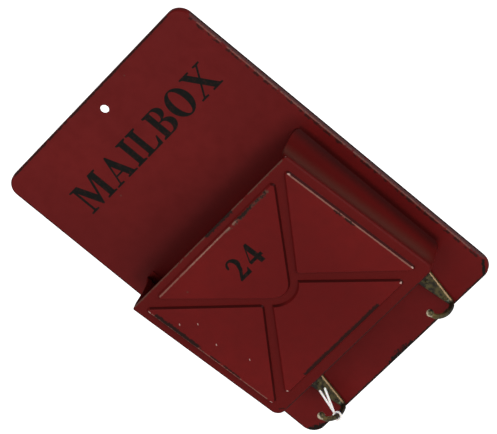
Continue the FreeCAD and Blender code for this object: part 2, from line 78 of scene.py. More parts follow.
class NodeSheet:
    """Adds and joins the nodes of one node tree."""

    def __init__(self, tree: bpy.types.NodeTree) -> None:
        """Keep the tree that the nodes go into."""
        self.tree = tree

    def node(self, kind: str, **settings: object) -> bpy.types.Node:
        """Add a node.

        Args:
            kind: the node's type name.
            **settings: properties of the node itself, such as its operation.

        Returns:
            The new node.
        """
        made = self.tree.nodes.new(kind)
        for name, value in settings.items():
            setattr(made, name, value)
        return made

    def feed(self, socket: bpy.types.NodeSocket, value: object) -> None:
        """Give a socket a link or a plain value.

        Args:
            socket: the input to fill.
            value: another node's output, a plain value, or None to leave the input as it is.
        """
        if isinstance(value, bpy.types.NodeSocket):
            self.tree.links.new(value, socket)
        elif value is not None:
            socket.default_value = value

    def fill(self, node: bpy.types.Node, values: dict[str, object]) -> None:
        """Fill a node's inputs by name.

        Args:
            node: the node to fill.
            values: a link or value for each input; _ in a name stands for a space.
        """
        for name, value in values.items():
            self.feed(node.inputs[name.replace("_", " ")], value)

    def math(self, operation: str, *values: object, clamp: bool = False) -> bpy.types.NodeSocket:
        """Work out a number from up to three others.

        Args:
            operation: the node's operation.
            *values: its inputs in order.
            clamp: hold the result between 0 and 1.

        Returns:
            The result.
        """
        made = self.node("ShaderNodeMath", operation=operation, use_clamp=clamp)
        for socket, value in zip(made.inputs, values):
            self.feed(socket, value)
        return made.outputs[0]

    def vector(self, operation: str, *values: object, scale: object = None) -> bpy.types.NodeSocket:
        """Work out a vector, or the number that a length or a dot product gives.

        Args:
            operation: the node's operation.
            *values: its vector inputs in order.
            scale: the factor, for SCALE only.

        Returns:
            The result.
        """
        made = self.node("ShaderNodeVectorMath", operation=operation)
        for socket, value in zip(made.inputs, values):
            self.feed(socket, value)
        if scale is not None:
            self.feed(made.inputs["Scale"], scale)
        return made.outputs["Value" if operation in ("LENGTH", "DOT_PRODUCT") else "Vector"]

    def ramp(self, value: object, low: object, high: object, start: object = 0.0,
             end: object = 1.0) -> bpy.types.NodeSocket:
        """Carry a value smoothly from one range to another, held at both ends.

        Args:
            value: what is carried.
            low: where its range begins.
            high: where its range ends.
            start: the result at low.
            end: the result at high.

        Returns:
            The result.
        """
        made = self.node("ShaderNodeMapRange", interpolation_type="SMOOTHSTEP")
        self.fill(made, {"Value": value, "From Min": low, "From Max": high, "To Min": start,
                         "To Max": end})
        return made.outputs["Result"]

    def noise(self, place: object, scale: float, detail: float = 3.0, rough: float = 0.55,
              seed: object = 0.0) -> bpy.types.NodeSocket:
        """Add soft noise.

        Args:
            place: where it is read.
            scale: how fine it is, per metre.
            detail: how many finer layers it has.
            rough: how strong each finer layer is.
            seed: shifts it along a fourth axis.

        Returns:
            The noise, around 0.5.
        """
        made = self.node("ShaderNodeTexNoise", noise_dimensions="4D")
        self.fill(made, {"Vector": place, "Scale": scale, "W": seed, "Detail": detail,
                         "Roughness": rough})
        return made.outputs["Fac"]

    def mix(self, mask: object, under: object, over: object) -> bpy.types.NodeSocket:
        """Lay one colour over another through a mask.

        Args:
            mask: 0 where the lower colour shows, 1 where the upper one does.
            under: the lower colour.
            over: the upper colour.

        Returns:
            The mixed colour.
        """
        made = self.node("ShaderNodeMix", data_type="RGBA")
        factor, lower, upper = (made.inputs[place] for place in (0, 6, 7))
        self.feed(factor, mask)
        self.feed(lower, under)
        self.feed(upper, over)
        return made.outputs[2]

    def bump(self, height: object, strength: float, depth: float = 0.03) -> bpy.types.NodeSocket:
        """Turn a height into a bumped normal.

        Args:
            height: the height, in depths.
            strength: how much of the bump shows.
            depth: in millimetres.

        Returns:
            The normal.
        """
        made = self.node("ShaderNodeBump")
        self.fill(made, {"Strength": strength, "Distance": depth * MM, "Height": height})
        return made.outputs["Normal"]

    def group(self, name: str, **values: object) -> bpy.types.Node:
        """Place a shared effect.

        Args:
            name: the effect's name.
            **values: a link or value for each of its inputs; _ in a name stands for a space.

        Returns:
            The placed group.
        """
        made = self.node("ShaderNodeGroup", node_tree=Effects.get(name))
        self.fill(made, values)
        return made

    def shade(self, **values: object) -> None:
        """Fill the surface shader's inputs; _ in a name stands for a space."""
        self.fill(self.tree.nodes["Principled BSDF"], values)


class Effect:
    """A shader node group with named sockets, built once and shared by the materials."""

    def __init__(self, name: str) -> None:
        """Start an empty group.

        Args:
            name: the effect's name.
        """
        self.tree = bpy.data.node_groups.new(name, "ShaderNodeTree")
        self.sheet = NodeSheet(self.tree)
        self.start = self.sheet.node("NodeGroupInput")
        self.finish = self.sheet.node("NodeGroupOutput")

    def input(self, name: str, kind: str = "Float", default: object = None) -> bpy.types.NodeSocket:
        """Add a named input.

        Args:
            name: the socket's name.
            kind: Float or Vector.
            default: its value where nothing is joined to it.

        Returns:
            The socket inside the group.
        """
        made = self.tree.interface.new_socket(name, in_out="INPUT", socket_type=f"NodeSocket{kind}")
        if default is not None:
            made.default_value = default
        return self.start.outputs[name]

    def output(self, name: str, value: bpy.types.NodeSocket) -> None:
        """Add a named output for a number and join it."""
        self.tree.interface.new_socket(name, in_out="OUTPUT", socket_type="NodeSocketFloat")
        self.sheet.feed(self.finish.inputs[name], value)


def build_wear_noise() -> bpy.types.NodeTree:
    """The two noises that break up every worn stretch of a material.

    Returns:
        A group with Wobble, which frays the borders, and Patches, which leaves some paint standing.
    """
    effect = Effect("wear_noise")
    sheet = effect.sheet
    place = effect.input("Place", "Vector")
    seed = effect.input("Seed", default=0.0)
    fine = sheet.noise(place, scale=480.0, detail=4.0, rough=0.65, seed=seed)
    effect.output("Wobble", sheet.math("MULTIPLY", sheet.math("SUBTRACT", fine, 0.5), 4.0))
    effect.output("Patches", sheet.noise(place, scale=170.0, detail=2.5, rough=0.5, seed=seed))
    return effect.tree


def build_edge_wear_and_painted_light() -> bpy.types.NodeTree:
    """A ragged band along a straight stretch of edge, from one point to another, for worn paint and
    for painted light.

    Returns:
        A group that puts out Mask, 1 where the paint is gone.
    """
    effect = Effect("edge_wear_and_painted_light")
    sheet = effect.sheet
    place = effect.input("Place", "Vector")
    wobble = effect.input("Wobble")
    patches = effect.input("Patches")
    start = effect.input("Start", "Vector")
    end = effect.input("End", "Vector")
    width = effect.input("Width", default=0.6 * MM)
    ragged = effect.input("Ragged", default=0.5)
    cover = effect.input("Cover", default=0.8)
    core = effect.input("Core", default=0.55)
    run = sheet.vector("SUBTRACT", end, start)
    away = sheet.vector("SUBTRACT", place, start)
    along = sheet.math("DIVIDE", sheet.vector("DOT_PRODUCT", away, run),
                       sheet.vector("DOT_PRODUCT", run, run), clamp=True)
    foot = sheet.vector("SCALE", run, scale=along)
    distance = sheet.vector("LENGTH", sheet.vector("SUBTRACT", away, foot))
    spread = sheet.math("MULTIPLY", sheet.math("MULTIPLY", wobble, ragged), width)
    band = sheet.ramp(sheet.math("ADD", distance, spread), sheet.math("MULTIPLY", width, core), width,
                      1.0, 0.0)
    standing = sheet.math("SUBTRACT", 1.0, cover)
    opened = sheet.ramp(patches, sheet.math("MULTIPLY_ADD", standing, 0.6, 0.17),
                        sheet.math("MULTIPLY_ADD", standing, 0.6, 0.27))
    effect.output("Mask", sheet.math("MULTIPLY", band, opened, clamp=True))
    return effect.tree


def build_paint_body() -> bpy.types.NodeTree:
    """The body of a coat of brushed satin paint: slow drift of colour, mottle and orange peel.

    Returns:
        A group with Drift, Mottle, Gloss and Height.
    """
    effect = Effect("paint_body")
    sheet = effect.sheet
    place = effect.input("Place", "Vector")
    seed = effect.input("Seed", default=0.0)
    drift = sheet.noise(place, scale=9.0, detail=2.0, rough=0.5, seed=seed)
    mottle = sheet.noise(place, scale=95.0, detail=4.0, rough=0.6, seed=seed)
    peel = sheet.noise(place, scale=900.0, detail=2.0, rough=0.5, seed=seed)
    waves = sheet.noise(place, scale=22.0, detail=1.0, rough=0.4, seed=seed)
    effect.output("Drift", sheet.ramp(drift, 0.3, 0.7))
    effect.output("Mottle", sheet.ramp(mottle, 0.35, 0.7))
    effect.output("Gloss", sheet.ramp(mottle, 0.3, 0.75, 0.36, 0.5))
    effect.output("Height", sheet.math("MULTIPLY_ADD", waves, 6.0, peel))
    return effect.tree


def build_channel_painted_shade() -> bpy.types.NodeTree:
    """Darker around raised panels: a little darker on the low ground, and painted shade, darker
    still, on the flanks turned to the right.

    Returns:
        A group with Floor and Flank.
    """
    effect = Effect("channel_painted_shade")
    sheet = effect.sheet
    height = effect.input("Height")
    rise = effect.input("Rise", default=2.2 * MM)
    level = sheet.math("ADD", sheet.math("DIVIDE", height, rise), 1.0)
    normal = sheet.node("ShaderNodeNewGeometry").outputs["Normal"]
    turned = sheet.vector("DOT_PRODUCT", normal, Vector((1.0, 0.0, 0.0)))
    # painted shade: the flanks turned to the right are darkened as if the light fell from the left
    rightwards = sheet.ramp(turned, 0.12, 0.5)
    up = sheet.ramp(level, 0.02, 0.2)
    down = sheet.ramp(level, 0.8, 1.0, 1.0, 0.0)
    flank_shade = sheet.math("MULTIPLY", sheet.math("MULTIPLY", up, down), rightwards)
    effect.output("Floor", sheet.ramp(level, 0.0, 0.7, 0.55, 0.0))
    effect.output("Flank", sheet.math("MULTIPLY", flank_shade, 0.8))
    return effect.tree


def build_specks() -> bpy.types.NodeTree:
    """Scattered small specks, such as pinprick chips and lint.

    Returns:
        A group that puts out Mask.
    """
    effect = Effect("specks")
    sheet = effect.sheet
    place = effect.input("Place", "Vector")
    scale = effect.input("Scale", default=120.0)
    size = effect.input("Size", default=0.12)
    share = effect.input("Share", default=0.1)
    cells = sheet.node("ShaderNodeTexVoronoi", feature="F1")
    sheet.fill(cells, {"Vector": place, "Scale": scale})
    split = sheet.node("ShaderNodeSeparateColor")
    sheet.feed(split.inputs[0], cells.outputs["Color"])
    chosen = sheet.math("LESS_THAN", split.outputs[0], share)
    core = sheet.ramp(cells.outputs["Distance"], sheet.math("MULTIPLY", size, 0.5), size, 1.0, 0.0)
    effect.output("Mask", sheet.math("MULTIPLY", core, chosen))
    return effect.tree


class Effects:
    """The shared effects, each built the first time it is asked for."""

    _built: dict[str, bpy.types.NodeTree] = {}
    _makers = {"wear_noise": build_wear_noise, "edge_wear_and_painted_light": build_edge_wear_and_painted_light,
               "paint_body": build_paint_body, "channel_painted_shade": build_channel_painted_shade,
               "specks": build_specks}

    @classmethod
    def get(cls, name: str) -> bpy.types.NodeTree:
        """Return a shared effect.

        Args:
            name: one of the makers' names.

        Returns:
            Its node group.
        """
        if name not in cls._built:
            cls._built[name] = cls._makers[name]()
        return cls._built[name]


# ---- places on the part ----


@dataclass(frozen=True)
class PocketFront:
    """The sloping front of the pocket, as places for what is painted or worn on it.

    x runs to the viewer's right and down runs from the mouth along the slope. Lengths in millimetres.
    """

    mouth_depth: float = 47.0
    foot_depth: float = 35.0
    plate_sheet: float = 1.0
    rise: float = 2.2

    def box(self) -> tuple[Vector, Vector]:
        """Return the pocket's lowest and highest corners, in millimetres."""
        low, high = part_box("envelope_pocket")
        return low / MM, high / MM

    @property
    def slope(self) -> float:
        """Angle between the front and upright, in radians."""
        low, high = self.box()
        return math.atan2(self.mouth_depth - self.foot_depth, high.z - low.z)

    @property
    def length(self) -> float:
        """Length of the front from mouth to floor, along the slope."""
        low, high = self.box()
        return (high.z - low.z) / math.cos(self.slope)

    def at(self, x: float, down: float, raised: float = 0.0) -> Vector:
        """Place a point on the front.

        Args:
            x: across the front.
            down: from the mouth, along the slope.
            raised: outwards from the flat front.

        Returns:
            The point in metres.
        """
        slope = self.slope
        mouth_z = self.box()[1].z
        y = -self.plate_sheet - self.mouth_depth + down * math.sin(slope) - raised * math.cos(slope)
        z = mouth_z - down * math.cos(slope) - raised * math.sin(slope)
        return Vector((x, y, z)) * MM

    def frame(self, x: float, down: float, raised: float) -> Matrix:
        """Stand a flat drawing (X, Y, thickness Z) on the front; see at() for the place."""
        turn = Matrix.Rotation(math.radians(90) + self.slope, 4, "X")
        return Matrix.Translation(self.at(x, down, raised)) @ turn


class Tone(Enum):
    """What a worn stretch lays bare, or the colour of a stretch of painted shade."""

    TAN = "tan"
    BROWN = "brown"
    BLACK = "black"
    PALE = "pale"
    MAUVE = "mauve"
    SHADOW = "shadow"


TONES = {
    Tone.TAN: (srgb("8a675a"), 0.5),
    Tone.BROWN: (srgb("54372e"), 0.55),
    Tone.BLACK: (srgb("18120f"), 0.6),
    Tone.PALE: (srgb("b89a90"), 0.5),
    Tone.MAUVE: (srgb("4a3434"), 0.55),
    # painted shade: dark red laid where the pocket meets the plate and on the plate above its mouth
    Tone.SHADOW: (srgb("2a0605"), 0.6),
}


@dataclass(frozen=True)
class WearAndPaintedLight:
    """One worn stretch of paint, or one stretch of painted shade or painted highlight.

    Attributes:
        start: one end, in metres.
        end: the other end, in metres.
        tone: what it lays bare.
        width: reach to either side, in millimetres.
        cover: share of the paint that is gone within its reach.
        ragged: how far its border wanders, in widths.
        strength: how fully the tone covers.
        core: share of the width that is bare before the wear begins to fade.
    """

    start: Vector
    end: Vector
    tone: Tone
    width: float
    cover: float
    ragged: float
    strength: float = 1.0
    core: float = 0.55


def stretches(place: Callable[..., Vector], rows: Iterable[tuple]) -> list[WearAndPaintedLight]:
    """Turn a table into worn stretches and stretches of painted light.

    Args:
        place: gives the point in metres for the numbers that a row has for each end.
        rows: start, end, tone, width, cover, ragged and, where they differ, strength and core.

    Returns:
        The worn stretches.
    """
    return [WearAndPaintedLight(place(*start), place(*end), *look) for start, end, *look in rows]


# ---- finishes ----


def start_material(name: str) -> tuple[bpy.types.Material, NodeSheet, bpy.types.NodeSocket]:
    """Start a finish.

    Args:
        name: the material's name.

    Returns:
        The material, its node sheet and the object coordinates.
    """
    material = bpy.data.materials.new(name)
    material.use_nodes = True
    sheet = NodeSheet(material.node_tree)
    return material, sheet, sheet.node("ShaderNodeTexCoord").outputs["Object"]


def worn_and_painted_light_masks(sheet: NodeSheet, place: bpy.types.NodeSocket, wear_and_painted_light: tuple[WearAndPaintedLight, ...],
               seed: float) -> dict[Tone, bpy.types.NodeSocket]:
    """Gather the worn stretches and the stretches of painted light into one mask for each tone.

    Args:
        sheet: the material's node sheet.
        place: object coordinates.
        wear_and_painted_light: the stretches.
        seed: shifts the noise that frays them.

    Returns:
        The mask of each tone that is used.
    """
    masks: dict[Tone, bpy.types.NodeSocket] = {}
    if not wear_and_painted_light:
        return masks
    frayed = sheet.group("wear_noise", Place=place, Seed=seed)
    in_front = None
    # painted shade is kept to faces turned towards the viewer
    if any(stretch.tone is Tone.SHADOW for stretch in wear_and_painted_light):
        normal = sheet.node("ShaderNodeNewGeometry").outputs["Normal"]
        backwards = sheet.vector("DOT_PRODUCT", normal, Vector((0.0, 1.0, 0.0)))
        in_front = sheet.ramp(backwards, 0.3, 0.6, 1.0, 0.0)
    for stretch in wear_and_painted_light:
        worn = sheet.group(
            "edge_wear_and_painted_light", Place=place, Wobble=frayed.outputs["Wobble"],
            Patches=frayed.outputs["Patches"], Start=stretch.start, End=stretch.end,
            Width=stretch.width * MM, Ragged=stretch.ragged, Cover=stretch.cover, Core=stretch.core)
        mask = worn.outputs["Mask"]
        if stretch.strength < 1:
            mask = sheet.math("MULTIPLY", mask, stretch.strength)
        if stretch.tone is Tone.SHADOW:
            mask = sheet.math("MULTIPLY", mask, in_front)
        earlier = masks.get(stretch.tone)
        masks[stretch.tone] = mask if earlier is None else sheet.math("MAXIMUM", earlier, mask)
    return masks


@dataclass(frozen=True)
class SatinPaint:
    """Worn satin paint over dark primer and steel."""

    name: str
    seed: float
    sheen: float = 0.06
    light: str = "631413"
    deep: str = "581010"
    mottle: str = "500f0e"
    low_ground: str = "4c0d0b"
    # painted shade for the flanks turned to the right
    flank_shade: str = "240605"
    wear_and_painted_light: tuple[WearAndPaintedLight, ...] = ()
    speck_share: float = 0.02
    crest: Vector | None = None
    outwards: Vector | None = None
    rise: float = 2.2

    def build(self) -> bpy.types.Material:
        """Build the material.

        Returns:
            The finished material.
        """
        material, sheet, place = start_material(self.name)
        body = sheet.group("paint_body", Place=place, Seed=self.seed)
        colour = sheet.mix(body.outputs["Drift"], srgb(self.light), srgb(self.deep))
        mottled = sheet.math("MULTIPLY", body.outputs["Mottle"], 0.3)
        colour = sheet.mix(mottled, colour, srgb(self.mottle))
        specks = sheet.group("specks", Place=place, Share=self.speck_share)
        speckled = sheet.math("MULTIPLY", specks.outputs["Mask"], 0.7)
        colour = sheet.mix(speckled, colour, TONES[Tone.BROWN][0])
        # darker on the low ground around the raised panels, and painted shade on their flanks turned
        # to the right
        if self.crest is not None:
            height = sheet.vector("DOT_PRODUCT", sheet.vector("SUBTRACT", place, self.crest),
                                  self.outwards)
            painted_shade = sheet.group("channel_painted_shade", Height=height, Rise=self.rise * MM)
            colour = sheet.mix(painted_shade.outputs["Floor"], colour, srgb(self.low_ground))
            colour = sheet.mix(painted_shade.outputs["Flank"], colour, srgb(self.flank_shade))
        rough = body.outputs["Gloss"]
        masks = worn_and_painted_light_masks(sheet, place, self.wear_and_painted_light, self.seed)
        for tone in (Tone.SHADOW, Tone.MAUVE, Tone.BROWN, Tone.TAN, Tone.PALE, Tone.BLACK):
            if tone in masks:
                bared, bared_rough = TONES[tone]
                colour = sheet.mix(masks[tone], colour, bared)
                step = sheet.math("SUBTRACT", bared_rough, rough)
                rough = sheet.math("MULTIPLY_ADD", step, masks[tone], rough)
        sheet.shade(Base_Color=colour, Roughness=rough, Specular_IOR_Level=self.sheen,
                    Normal=sheet.bump(body.outputs["Height"], 0.35))
        return material


@dataclass(frozen=True)
class AgedBrass:
    """Cast brass under an olive brown patina, worn bright where hands and rings touch it, with
    painted highlight and painted shadow where they are given.
    """

    name: str
    seed: float
    sheen: float = 0.25
    patina: str = "4a4225"
    dark: str = "1c160e"
    verdigris: str = "5d6044"
    bright: str = "9c8160"
    worn: str = "6b5a32"
    cream_highlight: str = "e8d8b8"
    mint: str = "6f8468"
    rubbed_and_painted_light: tuple[WearAndPaintedLight, ...] = ()

    def build(self) -> bpy.types.Material:
        """Build the material.

        Returns:
            The finished material.
        """
        material, sheet, place = start_material(self.name)
        clouds = sheet.ramp(sheet.noise(place, 300.0, 4.0, 0.65, self.seed), 0.42, 0.62)
        colour = sheet.mix(clouds, srgb(self.patina), srgb(self.dark))
        green = sheet.ramp(sheet.noise(place, 420.0, 3.0, 0.6, 3.0), 0.6, 0.72)
        colour = sheet.mix(sheet.math("MULTIPLY", green, 0.4), colour, srgb(self.verdigris))
        # the pale tone is laid over the whole ball as its painted highlight; the dark tone also
        # serves a painted shadow
        tones = {Tone.TAN: self.bright, Tone.PALE: self.cream_highlight, Tone.BLACK: self.dark,
                 Tone.MAUVE: self.mint, Tone.BROWN: self.worn}
        metal = sheet.math("MULTIPLY_ADD", clouds, -0.2, 0.35)
        rough = sheet.math("MULTIPLY_ADD", clouds, 0.12, 0.42)
        for tone, mask in worn_and_painted_light_masks(sheet, place, self.rubbed_and_painted_light, 7.0).items():
            colour = sheet.mix(mask, colour, srgb(tones[tone]))
            shine = 0.7 if tone in (Tone.TAN, Tone.BROWN) else 0.2
            metal = sheet.math("MULTIPLY_ADD", sheet.math("SUBTRACT", shine, metal), mask, metal)
            rough = sheet.math("MULTIPLY_ADD", mask, -0.1, rough)
        grain = sheet.noise(place, 700.0, 4.0, 0.6)
        sheet.shade(Base_Color=colour, Metallic=metal, Roughness=rough,
                    Specular_IOR_Level=self.sheen, Normal=sheet.bump(grain, 0.6, 0.08))
        return material


@dataclass(frozen=True)
class MattPlastic:
    """White nylon, slightly translucent and a little soiled."""

    name: str
    clean: str = "f4f1ee"
    soiled: str = "cfc9c2"
    glow: float = 0.15
    glow_depth: float = 0.6

    def build(self) -> bpy.types.Material:
        """Build the material.

        Returns:
            The finished material.
        """
        material, sheet, place = start_material(self.name)
        soil = sheet.ramp(sheet.noise(place, 3.0), 0.45, 0.75, 0.0, 0.7)
        sheet.shade(Base_Color=sheet.mix(soil, srgb(self.clean), srgb(self.soiled)),
                    Roughness=sheet.math("MULTIPLY_ADD", soil, 0.2, 0.4),
                    Subsurface_Weight=self.glow, Subsurface_Scale=self.glow_depth * MM,
                    Normal=sheet.bump(sheet.noise(place, 1200.0, 2.0), 0.3))
        return material


@dataclass(frozen=True)
class StencilInk:
    """Near-black stencil paint, thin enough to show a little red where it is worn."""

    name: str
    seed: float
    sheen: float = 0.04
    ink: str = "10110f"
    thin: str = "2a1715"

    def build(self) -> bpy.types.Material:
        """Build the material.

        Returns:
            The finished material.
        """
        material, sheet, place = start_material(self.name)
        thin = sheet.ramp(sheet.noise(place, 330.0, 4.0, 0.65, self.seed), 0.5, 0.72)
        sheet.shade(Base_Color=sheet.mix(thin, srgb(self.ink), srgb(self.thin)),
                    Roughness=sheet.math("MULTIPLY_ADD", thin, 0.15, 0.42),
                    Specular_IOR_Level=self.sheen,
                    Normal=sheet.bump(sheet.noise(place, 900.0, 2.0), 0.3))
        return material


# ---- lettering ----


def bow(centre: tuple[float, float], radii: tuple[float, float], start: float, end: float,
        steps: int = 14) -> list[tuple[float, float]]:
    """Draw part of an ellipse.

    Args:
        centre: its middle.
        radii: its half width and half height.
        start: first angle in degrees, counter-clockwise from the right.
        end: last angle; less than start draws it clockwise.
        steps: number of straight pieces.

    Returns:
        The points from start to end.
    """
    points = []
    for index in range(steps + 1):
        angle = math.radians(start + (end - start) * index / steps)
        points.append((centre[0] + radii[0] * math.cos(angle),
                       centre[1] + radii[1] * math.sin(angle)))
    return points


@dataclass(frozen=True)
class Glyph:
    """One letter of a slab-footed stencil alphabet, drawn on a cap height of 1."""

    width: float
    outline: list[tuple[float, float]]
    holes: list[list[tuple[float, float]]] = field(default_factory=list)


class StencilAlphabet:
    """Heavy upright letters with thin feet, as a maker would cut them for a stencil."""

    foot = 0.055
    bracket = 0.09

    def glyph(self, letter: str) -> Glyph:
        """Return a letter's drawing."""
        return getattr(self, f"draw_{letter.lower()}")()

    @property
    def left_side(self) -> list[tuple[float, float]]:
        """Left side of a letter's stem, from head to foot."""
        return [(0.0, 1.0), (0.0, 1 - self.foot), (0.09, 1 - self.bracket), (0.09, self.bracket),
                (0.0, self.foot)]

    def stem_side(self, x: float, outer: float) -> list[tuple[float, float]]:
        """Right side of an upright stem at x with a foot and a head that reach out to outer."""
        return [(outer, 0), (outer, self.foot), (x, self.bracket), (x, 1 - self.bracket),
                (outer, 1 - self.foot), (outer, 1)]

    def draw_i(self) -> Glyph:
        """Letter I: one stem between two feet.

        Returns:
            The drawing.
        """
        right = self.stem_side(0.30, 0.39)
        left = [(0.39 - x, y) for x, y in reversed(right)]
        return Glyph(0.39, right + left)

    def draw_l(self) -> Glyph:
        """Letter L: a stem on a long foot that turns up at its end.

        Returns:
            The drawing.
        """
        foot = [(0.0, 0.0), (0.66, 0.0), (0.71, 0.32), (0.66, 0.32), (0.55, 0.11), (0.42, self.foot),
                (0.30, self.foot), (0.30, 1 - self.bracket), (0.40, 1 - self.foot), (0.40, 1.0)]
        return Glyph(0.71, foot + self.left_side)

    def draw_a(self) -> Glyph:
        """Letter A: a thin left leg, a heavy right leg and a bar.

        Returns:
            The drawing.
        """
        outline = [(0.0, 0.0), (0.29, 0.0), (0.29, self.foot), (0.185, 0.07), (0.247, 0.27),
                   (0.501, 0.27), (0.572, 0.07), (0.50, self.foot), (0.50, 0.0), (0.90, 0.0),
                   (0.90, self.foot), (0.80, 0.07), (0.47, 1.0), (0.414, 1.0), (0.125, 0.07),
                   (0.0, self.foot)]
        return Glyph(0.90, outline, [[(0.266, 0.33), (0.480, 0.33), (0.3666, 0.654)]])

    def draw_m(self) -> Glyph:
        """Letter M: a thin left stem, a heavy right stem and a valley between them.

        Returns:
            The drawing.
        """
        outline = [(0.0, 0.0), (0.30, 0.0), (0.30, self.foot), (0.195, 0.075), (0.195, 0.80),
                   (0.50, 0.0), (0.55, 0.0), (0.86, 0.82), (0.86, 0.075), (0.76, self.foot),
                   (0.76, 0.0), (1.15, 0.0), (1.15, self.foot), (1.07, 0.075), (1.07, 0.925),
                   (1.15, 1 - self.foot), (1.15, 1.0), (0.84, 1.0), (0.60, 0.34), (0.34, 1.0),
                   (0.0, 1.0), (0.0, 1 - self.foot), (0.12, 0.925), (0.12, 0.075), (0.0, self.foot)]
        return Glyph(1.15, outline)

    def draw_b(self) -> Glyph:
        """Letter B: a stem with two bowls.

        Returns:
            The drawing.
        """
        outline = [(0.0, 0.0)] + bow((0.43, 0.27), (0.31, 0.27), -90, 78)
        outline += bow((0.41, 0.765), (0.27, 0.235), -72, 90) + self.left_side
        lower = [(0.30, 0.055)] + bow((0.38, 0.27), (0.14, 0.215), -90, 90) + [(0.30, 0.485)]
        upper = [(0.30, 0.545)] + bow((0.37, 0.745), (0.105, 0.20), -90, 90) + [(0.30, 0.945)]
        return Glyph(0.74, outline, [lower, upper])

    def draw_o(self) -> Glyph:
        """Letter O: a ring with heavy sides.

        Returns:
            The drawing.
        """
        outer = bow((0.43, 0.5), (0.42, 0.52), 0, 360, 48)[:-1]
        return Glyph(0.86, outer, [bow((0.43, 0.5), (0.19, 0.465), 0, 360, 40)[:-1]])

    def draw_x(self) -> Glyph:
        """Letter X: a heavy and a thin stroke that cross.

        Returns:
            The drawing.
        """
        outline = [(0.0, 0.0), (0.29, 0.0), (0.29, self.foot), (0.175, 0.07), (0.4007, 0.3934),
                   (0.60, 0.07), (0.51, self.foot), (0.51, 0.0), (0.92, 0.0), (0.92, self.foot),
                   (0.84, 0.07), (0.5282, 0.576), (0.775, 0.93), (0.88, 1 - self.foot), (0.88, 1.0),
                   (0.60, 1.0), (0.60, 1 - self.foot), (0.70, 0.93), (0.493, 0.6331), (0.31, 0.93),
                   (0.40, 1 - self.foot), (0.40, 1.0), (0.0, 1.0), (0.0, 1 - self.foot),
                   (0.07, 0.93), (0.3655, 0.4505), (0.10, 0.07), (0.0, self.foot)]
        return Glyph(0.92, outline)

    def draw_2(self) -> Glyph:
        """Figure 2: a bowl that runs down into a flat base.

        Returns:
            The drawing.
        """
        outline = [(0.03, 0.0), (0.54, 0.0), (0.59, 0.27), (0.55, 0.27), (0.48, 0.17), (0.42, 0.155),
                   (0.24, 0.155), (0.42, 0.37)]
        outline += bow((0.30, 0.715), (0.255, 0.285), -50, 165)
        outline += [(0.05, 0.70), (0.10, 0.70)]
        outline += bow((0.255, 0.70), (0.115, 0.215), 160, -40)
        outline += [(0.28, 0.40), (0.03, 0.06)]
        return Glyph(0.60, outline)

    def draw_4(self) -> Glyph:
        """Figure 4: a heavy stem, a bar and a thin slanting stroke.

        Returns:
            The drawing.
        """
        outline = [(0.31, 0.0), (0.50, 0.0), (0.50, 0.22), (0.60, 0.22), (0.60, 0.36), (0.50, 0.36),
                   (0.50, 1.0), (0.39, 1.0), (0.02, 0.33), (0.02, 0.22), (0.31, 0.22)]
        return Glyph(0.62, outline, [[(0.31, 0.36), (0.31, 0.76), (0.09, 0.36)]])


@dataclass
class Lettering:
    """A line of stencilled letters as one thin skin of paint.

    The line is drawn flat, centred on the origin, and then placed. Lengths in millimetres; the gap
    between letters is a share of their height, and stretch widens them.
    """

    name: str
    text: str
    height: float
    stretch: float
    gap: float = 0.06
    film: float = 0.06
    alphabet: StencilAlphabet = field(default_factory=StencilAlphabet)

    def add_loop(self, mesh: bmesh.types.BMesh, points: list[tuple[float, float]],
                 start: float) -> list[bmesh.types.BMEdge]:
        """Add a closed outline of edges.

        Args:
            mesh: the mesh it goes into.
            points: its corners, on a cap height of 1.
            start: how far along the line the letter begins.

        Returns:
            The new edges.
        """
        scale = self.height * MM
        corners = [mesh.verts.new(((start + x) * scale * self.stretch, y * scale, 0.0))
                   for x, y in points]
        return [mesh.edges.new((corner, corners[index - 1])) for index, corner in enumerate(corners)]

    def build(self, placing: Matrix) -> bpy.types.Object:
        """Fill the outlines, give them a thickness and place them.

        Args:
            placing: turns the flat line (X along, Y up, Z outwards) onto its surface.

        Returns:
            The finished piece.
        """
        mesh = bmesh.new()
        start = 0.0
        for letter in self.text:
            glyph = self.alphabet.glyph(letter)
            edges = self.add_loop(mesh, glyph.outline, start)
            for hole in glyph.holes:
                edges += self.add_loop(mesh, hole, start)
            bmesh.ops.triangle_fill(mesh, edges=edges, use_beauty=True, normal=(0.0, 0.0, 1.0))
            start += glyph.width + self.gap
        middle = (start - self.gap) / 2 * self.height * MM * self.stretch
        bmesh.ops.translate(mesh, verts=mesh.verts, vec=(-middle, -self.height * MM / 2, 0.0))
        raised = bmesh.ops.extrude_face_region(mesh, geom=list(mesh.faces))
        tops = [item for item in raised["geom"] if isinstance(item, bmesh.types.BMVert)]
        bmesh.ops.translate(mesh, verts=tops, vec=(0.0, 0.0, self.film * MM))
        bmesh.ops.recalc_face_normals(mesh, faces=mesh.faces)
        bmesh.ops.transform(mesh, matrix=placing, verts=mesh.verts)
        data = bpy.data.meshes.new(self.name)
        mesh.to_mesh(data)
        mesh.free()
        piece = bpy.data.objects.new(self.name, data)
        bpy.context.scene.collection.objects.link(piece)
        return piece


# ---- sub-assemblies ----


def dress(piece: bpy.types.Object, material: bpy.types.Material) -> None:
    """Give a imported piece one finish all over.

    Args:
        piece: the piece.
        material: its finish.
    """
    slots = piece.data.materials
    slots.clear()
    slots.append(material)
    LOG.info("%s wears %s", piece.name, material.name)


